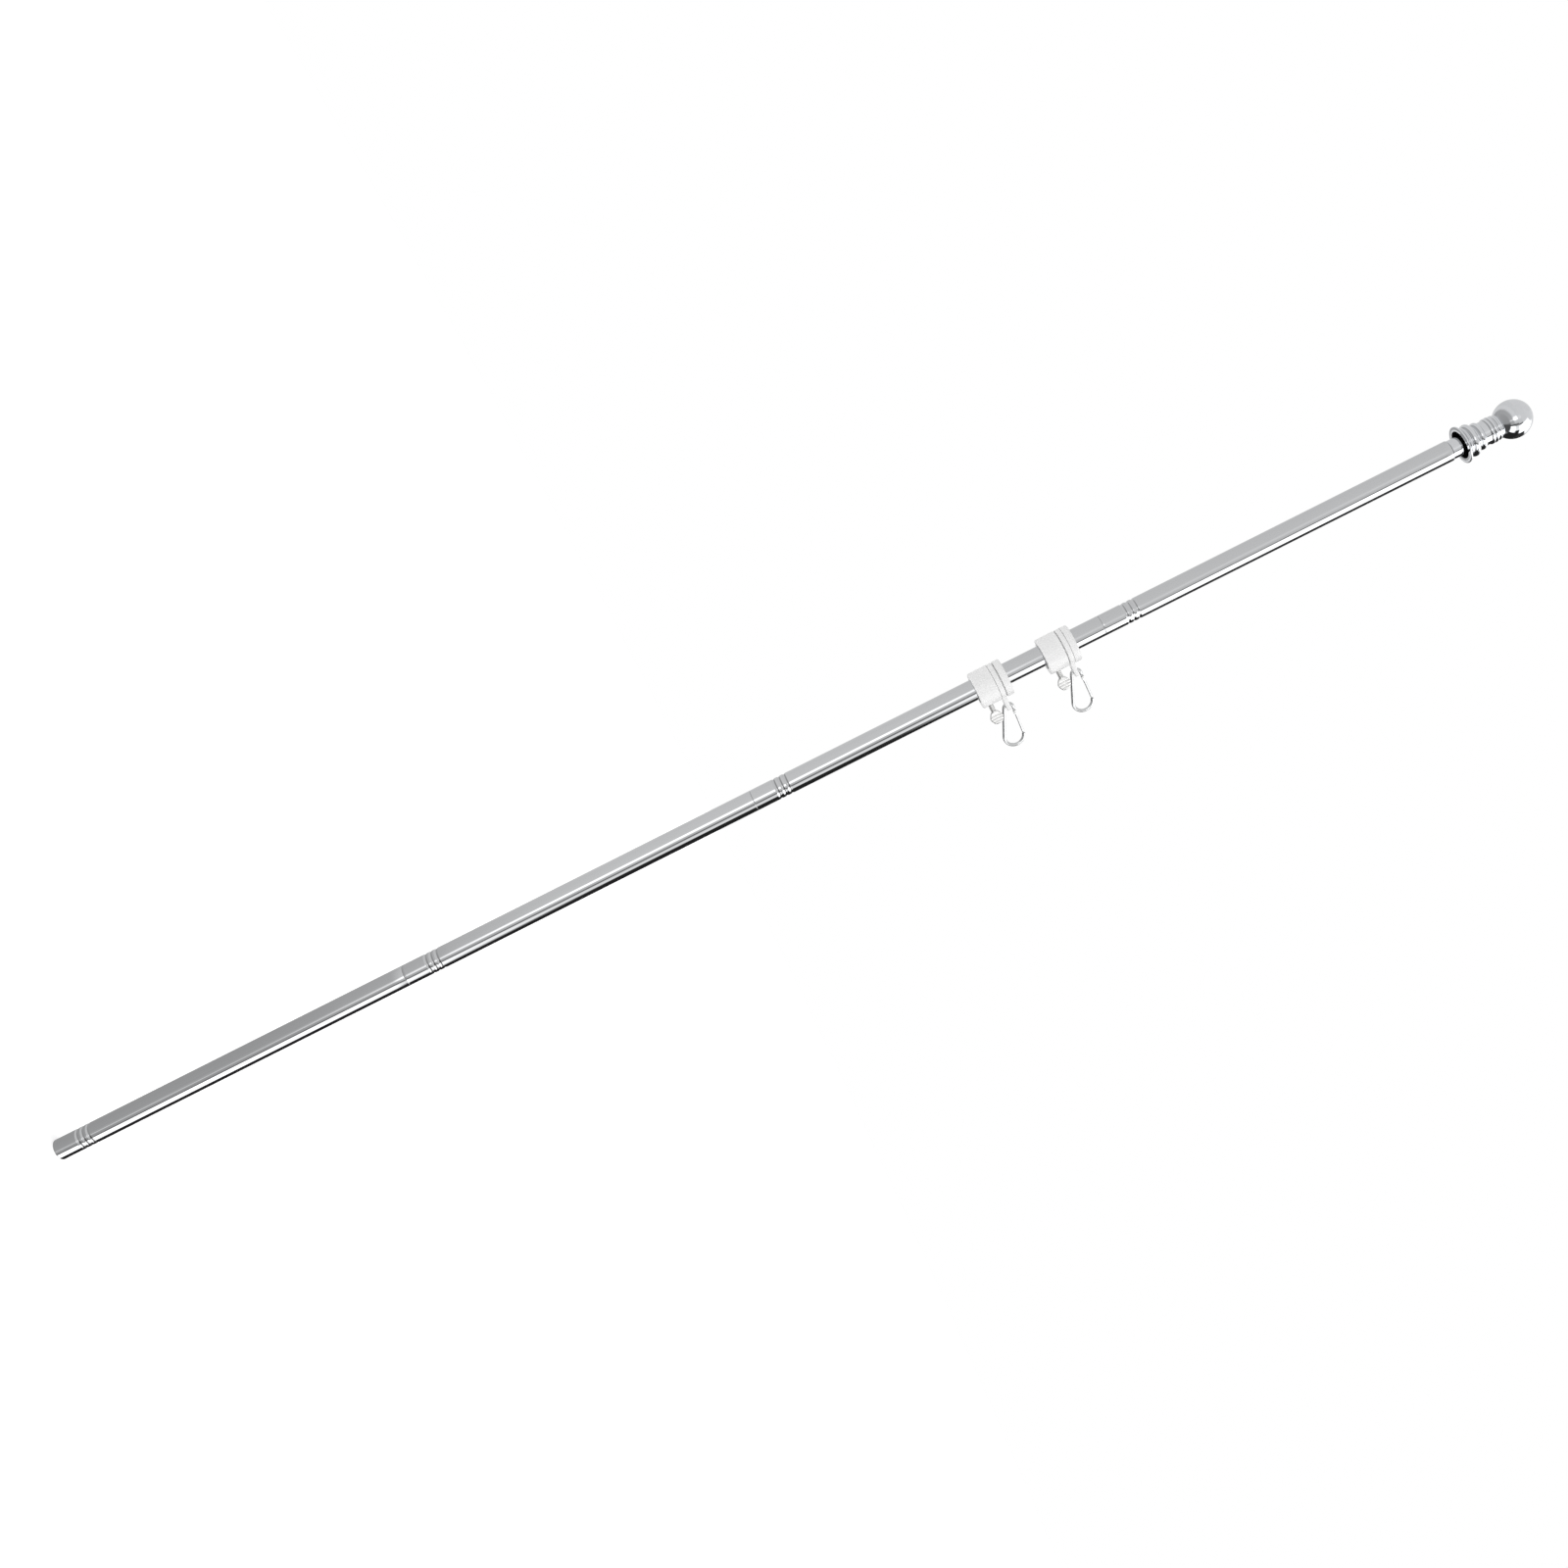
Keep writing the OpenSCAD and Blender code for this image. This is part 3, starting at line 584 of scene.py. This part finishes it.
def nickel_plate():
    """Bright nickel on a stamped head: slightly warm, with shallow dimples from the barrel."""
    material, tree = new_material("bright_nickel_plate")
    place = add(tree, "ShaderNodeTexCoord").outputs["Object"]
    dents = add(tree, "ShaderNodeTexNoise", {"Vector": place, "Scale": 1 / 0.0016, "Detail": 2.0})
    bump = add(tree, "ShaderNodeBump",
               {"Height": dents.outputs["Fac"], "Strength": 0.04, "Distance": 0.0003})
    rough = add(tree, "ShaderNodeMapRange",
                {"Value": dents.outputs["Fac"], "From Min": 0.3, "From Max": 0.7,
                 "To Min": 0.14, "To Max": 0.22})
    tint = add(tree, "ShaderNodeMix",
               {"Factor": dents.outputs["Fac"], "A": srgb("#dededd"), "B": srgb("#e6e6e5")},
               data_type="RGBA")
    metal = add(tree, "ShaderNodeBsdfPrincipled",
                {"Base Color": tint.outputs["Result"], "Metallic": 1.0,
                 "Roughness": rough.outputs[0], "Normal": bump.outputs[0]})
    add(tree, "ShaderNodeOutputMaterial", {"Surface": metal.outputs[0]})
    return material


def thread_grid(low, high):
    """Threaded rod along X: a rounded groove that winds once round for each pitch of length."""
    x = np.arange(low, high, THREAD_PITCH / 10)[:, None]
    turn = np.linspace(0, 2 * np.pi, 48, endpoint=False)
    groove = 0.5 + 0.5 * np.cos(2 * np.pi * x / THREAD_PITCH - turn)
    begin = np.clip((x - low) / THREAD_PITCH, 0, 1)
    r = THREAD_R - THREAD_DEPTH * (1 - begin * (1 - groove))
    r[0] = r[-1] = 0
    return np.stack([x + 0 * turn, r * np.cos(turn), r * np.sin(turn)], 2)


def head_grid(width, height):
    """Flat head about its centre, X along the screw: a soft hexagon, with a rounded edge.

    The outline is a high-power mean of the distances to six edges and to a round blank; the
    grip grooves are raised cosines of X on both faces.
    """
    turn = np.linspace(0, 2 * np.pi, 160, endpoint=False)
    slant = np.arctan2(height / 2, width / 4)
    edges = [(0, height / 2), (np.pi, height / 2)]
    edges += [(a, width / 2 * HEX_SIZE * np.sin(slant))
              for a in (slant, -slant, np.pi - slant, np.pi + slant)]
    pull = (2 / width) ** CORNER_POWER + 0 * turn
    for a, apothem in edges:
        pull += (np.maximum(np.cos(turn - a), 0) / apothem) ** CORNER_POWER
    edge = pull ** (-1 / CORNER_POWER)
    flat = np.linspace(0, HEAD_FLAT, 44)
    bend = np.sin(np.linspace(0, np.pi / 2, 10))[1:]
    share = np.concatenate([flat, HEAD_FLAT + (1 - HEAD_FLAT) * bend])
    thick = np.concatenate([1 + 0 * flat, np.sqrt(1 - bend ** 2)]) * HEAD_HALF_T
    share = np.concatenate([share, share[-2::-1]])[:, None]
    thick = np.concatenate([thick, -thick[-2::-1]])[:, None]
    x, z = share * edge * np.cos(turn), share * edge * np.sin(turn)
    grip = 0 * x
    for at in GRIP_AT:
        grip += 0.5 + 0.5 * np.cos(np.pi * np.clip(np.abs(x - at) / GRIP_HALF, 0, 1))
    return np.stack([x, thick * (1 - grip * GRIP_DEPTH / HEAD_HALF_T), z], 2)


nickel = nickel_plate()
for ring in ("lower", "upper"):
    low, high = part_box(f"{ring}_screw")
    sleeve_low, sleeve_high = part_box(f"{ring}_sleeve")
    axis = np.array([0, 0, (low.z + high.z) / 2])
    shoulder = high.x - HEAD_H
    shank = axis + thread_grid(low.x, shoulder + SHANK_IN_HEAD)
    ring_shape = rounded_box(0.5 * MM, COLLAR_R, shoulder, shoulder + COLLAR_L, COLLAR_ROUND)
    collar = axis + revolve(ring_shape, 64)[..., [2, 0, 1]]
    head = axis + [high.x - HEAD_H / 2, 0, 0] + head_grid(high.z - low.z, HEAD_H)
    make_piece(f"{ring}_thumb_turn", [skin(shank, False, True), skin(collar, True, True),
                                      skin(head, False, True)],
               nickel, f"{ring}_thumb_screw", [f"{ring}_screw"], 55)

# ---------------------------------------------------------------- snap hooks
# Bent from one length of polished stainless wire. The upper end is flattened for the rivet, and
# the nose has a slot that takes the gate's tip.

WIRE_R = 1.55 * MM
LOOP_R = 4.5 * MM
BOW_R = 9.5 * MM
BOW_X = 28.9 * MM
SIDE_TURN = np.arcsin((BOW_R - LOOP_R) / BOW_X)
SIDE_L = BOW_X * np.cos(SIDE_TURN)
PIVOT_S = 5.5 * MM
NOSE_TURN = np.pi / 2 - 0.2 * SIDE_TURN
FLAT_HALF_T = 0.65 * MM
FLAT_L = 3.2 * MM
FLAT_EASE = 0.9 * MM            # length over which the round wire becomes flat
SLOT_HALF = 0.75 * MM
SLOT_L = 2.6 * MM
SLOT_FLOOR = 0.95 * MM
BLUNT = 0.12                    # angle at which a round end is cut off flat
HOOK_TILT = {"lower": np.radians(12), "upper": np.radians(9)}


def polished_wire():
    """Tumbled stainless wire: bright, with die lines and a slight unevenness from the bending."""
    material, tree = new_material("polished_stainless_wire")
    place = add(tree, "ShaderNodeTexCoord").outputs["Object"]
    uneven = add(tree, "ShaderNodeTexNoise", {"Vector": place, "Scale": 1 / 0.003, "Detail": 2.0})
    fine = add(tree, "ShaderNodeTexNoise", {"Vector": place, "Scale": 1 / 0.0003, "Detail": 2.0})
    bump = add(tree, "ShaderNodeBump",
               {"Height": uneven.outputs["Fac"], "Strength": 0.06, "Distance": 0.0004})
    rough = add(tree, "ShaderNodeMapRange",
                {"Value": fine.outputs["Fac"], "From Min": 0.3, "From Max": 0.7,
                 "To Min": 0.12, "To Max": 0.22})
    tint = add(tree, "ShaderNodeMix",
               {"Factor": fine.outputs["Fac"], "A": srgb("#cfd0d1"), "B": srgb("#dcdddd")},
               data_type="RGBA")
    metal = add(tree, "ShaderNodeBsdfPrincipled",
                {"Base Color": tint.outputs["Result"], "Metallic": 1.0,
                 "Roughness": rough.outputs[0], "Normal": bump.outputs[0]})
    add(tree, "ShaderNodeOutputMaterial", {"Surface": metal.outputs[0]})
    return material


def side_points(s, way):
    """Points at lengths s along a straight side, and the direction out of the hook there."""
    normal = np.array([-np.sin(SIDE_TURN), way * np.cos(SIDE_TURN)])
    along = np.array([np.cos(SIDE_TURN), way * np.sin(SIDE_TURN)])
    return LOOP_R * normal + s[:, None] * along, normal + 0 * s[:, None]


def bend_points(x, r, start, end, gap):
    """Points round a bend of the wire's centre line, and the direction out of it."""
    turn = steps(start, end, gap / r)
    normal = np.stack([np.cos(turn), np.sin(turn)], 1)
    return np.array([x, 0]) + r * normal, normal


def hook_grid():
    """The hook's wire in its own frame, and the face that closes its nose.

    A section with 32 points round its outer side and 32 round its inner one is carried along
    side, loop, side and bow. It goes from round to flat at the rivet, and at the nose its inner
    points go down the slot's walls and across its floor.
    """
    edge = np.pi - np.arcsin(SLOT_HALF / WIRE_R)
    outer = np.linspace(-edge, edge, 33)
    inner = np.linspace(edge, 2 * np.pi - edge, 33)[1:-1]
    turn = np.concatenate([outer, inner])

    s = np.concatenate([PIVOT_S + WIRE_R * np.cos(np.linspace(BLUNT, np.pi / 2, 10)),
                        steps(PIVOT_S - 0.2 * MM, 0, 0.25 * MM)])
    slot_turn = NOSE_TURN - SLOT_L / BOW_R
    parts = [side_points(s, 1),
             bend_points(0, LOOP_R, np.pi / 2 + SIDE_TURN, 1.5 * np.pi - SIDE_TURN, 0.3 * MM),
             side_points(steps(0.5 * MM, SIDE_L, 0.6 * MM), -1),
             bend_points(BOW_X, BOW_R, -np.pi / 2 - SIDE_TURN, slot_turn, 0.4 * MM)]
    path, normal = (np.concatenate(side) for side in zip(*parts))

    past = np.clip(s - PIVOT_S, 0, WIRE_R)
    flat = np.clip((s - PIVOT_S + FLAT_L) / FLAT_EASE, 0, 1)
    flat = flat * flat * (3 - 2 * flat)
    tall, thick, power = (np.full(len(path), value) for value in (WIRE_R, WIRE_R, 1.0))
    tall[:len(s)] = np.sqrt(WIRE_R ** 2 - past ** 2)
    thick[:len(s)] = WIRE_R + flat * (FLAT_HALF_T - WIRE_R)
    power[:len(s)] = 1 - 0.5 * flat
    c, w = rounded(turn, power[:, None])
    n, y = tall[:, None] * c, thick[:, None] * w

    slot_path, slot_normal = bend_points(BOW_X, BOW_R, slot_turn, NOSE_TURN, 0.4 * MM)
    wall_n = WIRE_R * np.cos(edge)
    point, corners = np.arange(1, 32), [0, 12, 20, 32]
    slot_n = np.interp(point, corners, [wall_n, SLOT_FLOOR, SLOT_FLOOR, wall_n])
    slot_y = np.interp(point, corners, [SLOT_HALF, SLOT_HALF, -SLOT_HALF, -SLOT_HALF])
    mouth = np.stack([np.concatenate([WIRE_R * np.cos(outer), slot_n]),
                      np.concatenate([WIRE_R * np.sin(outer), slot_y])], 1)
    n = np.concatenate([n, mouth[:, 0] + 0 * slot_path[:, :1]])
    y = np.concatenate([y, mouth[:, 1] + 0 * slot_path[:, :1]])
    path, normal = np.concatenate([path, slot_path]), np.concatenate([normal, slot_normal])

    plane = path[:, None] + n[..., None] * normal[:, None]
    wire = np.stack([plane[..., 0], y, plane[..., 1]], 2)
    wire = np.concatenate([wire[:1].mean(1, keepdims=True) + 0 * wire[:1], wire])
    end = wire[-1]
    lip = np.stack([end[:33], np.concatenate([end[:1], end[:32:-1], end[32:33]])])
    return wire, lip


wire_steel = polished_wire()
hook_frame = {}
for ring in ("lower", "upper"):
    tilt = HOOK_TILT[ring]
    hook_frame[ring] = (band_centre[ring] + EYE_REACH * out,
                        [np.cos(tilt) * out - np.sin(tilt) * up, beside,
                         np.sin(tilt) * out + np.cos(tilt) * up])
    wire, lip = (placed(grid, *hook_frame[ring]) for grid in hook_grid())
    make_piece(f"{ring}_hook_wire", [skin(wire, False, True), skin(lip, False, False)],
               wire_steel, f"{ring}_snap_hook", [f"{ring}_hook"], 45)

# ---------------------------------------------------------------- gates and rivets
# The gate is a straight steel rod with a fork at its upper end, riveted across the hook's
# flattened wire, and a thin tip that rests in the nose's slot. The rivet has domed heads.

GATE_L = SIDE_L + 0.85 * MM - PIVOT_S
RIVET_R = 0.7 * MM
RIVET_HEAD_R = 1.3 * MM
RIVET_HALF_L = 1.62 * MM        # from the middle to the underside of a head
RIVET_DOME_R = 1.7 * MM


def bar_grid(stations, power):
    """Bar along X through stations of (x, y centre, z centre, half width, half height)."""
    x, y, z, half_y, half_z = (np.array(column)[:, None] * MM for column in zip(*stations))
    c, s = rounded(np.linspace(0, 2 * np.pi, 40, endpoint=False) + 0.05, power)
    return np.stack([x + 0 * c, y + half_y * c, z + half_z * s], 2)


def gate_grids():
    """Rod, web and tip as one bar, and the fork's two cheeks as rounded plates that run into it.

    The stations are in millimetres from the rivet's axis. The tip is thin, and lies a little
    below the rod's axis, on the slot's floor.
    """
    end, rod_r, cheek_r, cheek_half, cheek_y, tip_z = GATE_L / MM, 1.2, 1.7, 0.4, 1.15, -0.32
    rod = [(2.3, 0, 0, 0, 0), (2.3, 0, 0, 1.3, 1.3), (2.5, 0, 0, 1.45, 1.5),
           (3.2, 0, 0, 1.4, 1.45), (3.9, 0, 0, 1.27, 1.27), (4.6, 0, 0, rod_r, rod_r)]
    rod += [(x, 0, 0, rod_r, rod_r) for x in steps(6, end - 1, 1.5)]
    rod += [(end - 0.5, 0, -0.1, 0.85, 1.05), (end, 0, tip_z, 0.5, 0.88),
            (end + 1.5, 0, tip_z, 0.5, 0.88), (end + 1.8, 0, tip_z, 0.38, 0.7),
            (end + 1.9, 0, tip_z, 0.15, 0.3), (end + 1.9, 0, tip_z, 0, 0)]
    grids = [bar_grid(rod, 1)]
    for side in (1, -1):
        turn = np.linspace(np.pi - BLUNT, np.pi / 2, 12)
        plate = [(cheek_r * np.cos(turn[0]), side * cheek_y, 0, 0, 0)]
        plate += [(cheek_r * np.cos(a), side * cheek_y, 0, cheek_half, cheek_r * np.sin(a))
                  for a in turn]
        plate += [(1.2, side * cheek_y, 0, cheek_half, cheek_r),
                  (2.6, side * 1.13, 0, cheek_half, 1.62), (3.4, side * 1.0, 0, cheek_half, 1.45),
                  (4.2, side * 0.8, 0, 0.38, 1.1), (4.9, side * 0.55, 0, 0.3, 0.6),
                  (4.9, side * 0.55, 0, 0, 0)]
        grids.append(bar_grid(plate, 0.6))
    return grids


for ring in ("lower", "upper"):
    corner, axes = hook_frame[ring]
    on_side, _ = side_points(np.array([PIVOT_S]), 1)
    pivot = placed(np.array([on_side[0, 0], 0, on_side[0, 1]]), corner, axes)
    c, s = np.cos(SIDE_TURN), np.sin(SIDE_TURN)
    ahead, aside, outward = (
        np.array(v) @ np.array(axes) for v in ((c, 0, s), (0, 1, 0), (-s, 0, c)))
    gate = [skin(placed(grid, pivot, [ahead, aside, outward]), False, True)
            for grid in gate_grids()]
    make_piece(f"{ring}_gate_rod", gate, wire_steel, f"{ring}_latch",
               [f"{ring}_gate"])
    dome = arc(0, 0.4 * MM, RIVET_DOME_R, 90, 50, 6)
    head = np.concatenate([dome, [[RIVET_HEAD_R, RIVET_HALF_L], [RIVET_R, RIVET_HALF_L]]])
    profile = np.concatenate([head, (head * [1, -1])[::-1]])
    rivet = placed(revolve(profile, 40), pivot, [ahead, outward, aside])
    make_piece(f"{ring}_rivet_pin", [skin(rivet, False, True)], nickel, f"{ring}_snap_hook",
               [f"{ring}_rivet"])

# ---------------------------------------------------------------- floor, light and camera
# A plain pale floor under the butt, a soft white studio round the pole, and a camera at the
# middle of the pole's height that looks along +Y, rolled so that the pole rises to the right.

FLOOR_R = 6.0
FLOOR_SIDES = 96
ROOM_STRENGTH = 2.2
CAMERA_DISTANCE = 1.51
CAMERA_X = -0.0011              # a little to the side
CAMERA_Z = 0.85                 # height on the pole straight ahead of the lens
FRAME_Z = 0.752                 # height on the pole at the middle of the frame
FRAME_WIDTH = 1.4428            # width that the frame takes in at the pole's near side
POLE_SLOPE = 26.7


def pale_floor():
    """Matt white studio board."""
    material, tree = new_material("matt_white_board")
    board = add(tree, "ShaderNodeBsdfPrincipled",
                {"Base Color": srgb("#f2f2f2"), "Roughness": 0.9,
                 "Emission Color": (1, 1, 1, 1), "Emission Strength": 0.35})
    add(tree, "ShaderNodeOutputMaterial", {"Surface": board.outputs[0]})
    return material


turn = np.linspace(0, 2 * np.pi, FLOOR_SIDES, endpoint=False)
floor_mesh = bpy.data.meshes.new("floor")
rim = np.stack([FLOOR_R * np.cos(turn), FLOOR_R * np.sin(turn), 0 * turn], 1)
floor_mesh.from_pydata(rim, [], [list(range(FLOOR_SIDES))])
floor_mesh.materials.append(pale_floor())
floor = bpy.data.objects.new("floor", floor_mesh)
bpy.context.scene.collection.objects.link(floor)
floor.visible_glossy = False

world = bpy.data.worlds.new("studio")
bpy.context.scene.world = world
world.use_nodes = True
tree = world.node_tree
tree.nodes.clear()
way = add(tree, "ShaderNodeSeparateXYZ",
          {"Vector": add(tree, "ShaderNodeTexCoord").outputs["Generated"]})
minus_y = add(tree, "ShaderNodeMath", {0: way.outputs["Y"], 1: -1.0}, operation="MULTIPLY")
bearing = add(tree, "ShaderNodeMath", {0: way.outputs["X"], 1: minus_y.outputs[0]},
              operation="ARCTAN2")
share = add(tree, "ShaderNodeMapRange",
            {"Value": bearing.outputs[0], "From Min": -np.pi, "From Max": np.pi})

# Brightness of the studio by bearing, in degrees from the camera's side towards +X: grey walls, a
# lamp beside the camera, a dark post, a white screen on the +X side and black cloth beyond it.
LOW_WALL = [
    (-180, 0.20), (-90, 0.22), (-20, 0.23), (2, 0.26), (5, 0.45), (9, 0.45), (12, 0.24),
    (34, 0.21), (40, 0.03), (45, 0.03), (48, 1.0), (91, 1.0), (96, 0.01), (176, 0.01), (178, 0.4)]
MIDDLE_WALL = [
    (-180, 0.37), (-90, 0.38), (-10, 0.40), (-2, 0.9), (4, 1.0), (12, 0.9), (16, 0.40),
    (34, 0.30), (38, 0.09), (46, 0.09), (52, 0.46), (76, 0.55), (82, 0.01), (176, 0.01),
    (178, 0.4)]
HIGH_WALL = [
    (-180, 0.34), (-90, 0.36), (-10, 0.37), (3, 0.43), (14, 0.43), (18, 0.37), (40, 0.33),
    (45, 0.08), (50, 0.08), (54, 1.0), (101, 1.0), (107, 0.02), (176, 0.02), (180, 0.3)]
CEILING = [(-180, 0.37), (45, 0.38), (57, 1.0), (128, 1.0), (140, 0.4), (180, 0.39)]
ZENITH = [(-180, 0.37), (180, 0.40)]
FLOOR_SIDE = [
    (-180, 0.3), (-90, 0.2), (15, 0.18), (35, 0.04), (105, 0.04), (125, 0.3), (180, 0.3)]


def wall(stops):
    """A ring of brightness round the pole: a colour ramp over the bearing."""
    ramp = add(tree, "ShaderNodeValToRGB", {"Fac": share.outputs[0]})
    while len(ramp.color_ramp.elements) < len(stops):
        ramp.color_ramp.elements.new(0.5)
    for stop, (angle, level) in zip(ramp.color_ramp.elements, stops):
        stop.position = (angle + 180) / 360
        stop.color = (level, level, level, 1)
    return ramp.outputs["Color"]


def above(lower, upper, start, end):
    """Passes from one ring to the next between two heights, as angles above the horizon."""
    rise = add(tree, "ShaderNodeMapRange",
               {"Value": way.outputs["Z"], "From Min": np.sin(np.radians(start)),
                "From Max": np.sin(np.radians(end))}, interpolation_type="SMOOTHSTEP")
    return add(tree, "ShaderNodeMix", {"Factor": rise.outputs[0], "A": lower, "B": upper},
               data_type="RGBA").outputs["Result"]


room = above(wall(FLOOR_SIDE), wall(LOW_WALL), -44, -34)
room = above(room, wall(MIDDLE_WALL), -24, -10)
room = above(room, wall(HIGH_WALL), 0, 8)
room = above(room, wall(CEILING), 24, 28)
room = above(room, wall(ZENITH), 54, 64)
lit = add(tree, "ShaderNodeBackground", {"Color": room, "Strength": ROOM_STRENGTH})
seen = add(tree, "ShaderNodeBackground", {"Color": (1, 1, 1, 1), "Strength": 1.0})
mixed = add(tree, "ShaderNodeMixShader",
            {0: add(tree, "ShaderNodeLightPath").outputs["Is Camera Ray"],
             1: lit.outputs[0], 2: seen.outputs[0]})
add(tree, "ShaderNodeOutputWorld", {"Surface": mixed.outputs[0]})

# the lens takes in the frame's width, and its shift puts the pole's middle at the frame's middle
lens = bpy.data.cameras.new("camera")
lens.sensor_width = 36
lens.lens = lens.sensor_width * (CAMERA_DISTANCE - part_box("pole_section_1")[1].x) / FRAME_WIDTH
camera = bpy.data.objects.new("camera", lens)
bpy.context.scene.collection.objects.link(camera)
slope = np.radians(POLE_SLOPE)
shift = (FRAME_Z - CAMERA_Z) / FRAME_WIDTH
lens.shift_x = shift * np.cos(slope)
lens.shift_y = shift * np.sin(slope)
right = Vector((np.sin(slope), 0, np.cos(slope)))
up = Vector((-np.cos(slope), 0, np.sin(slope)))
back = Vector((0, -1, 0))
camera.matrix_world = Matrix.Translation((CAMERA_X, -CAMERA_DISTANCE, CAMERA_Z)) @ Matrix(
    [right, up, back]).transposed().to_4x4()
bpy.context.scene.camera = camera
bpy.context.scene.view_settings.view_transform = "Standard"
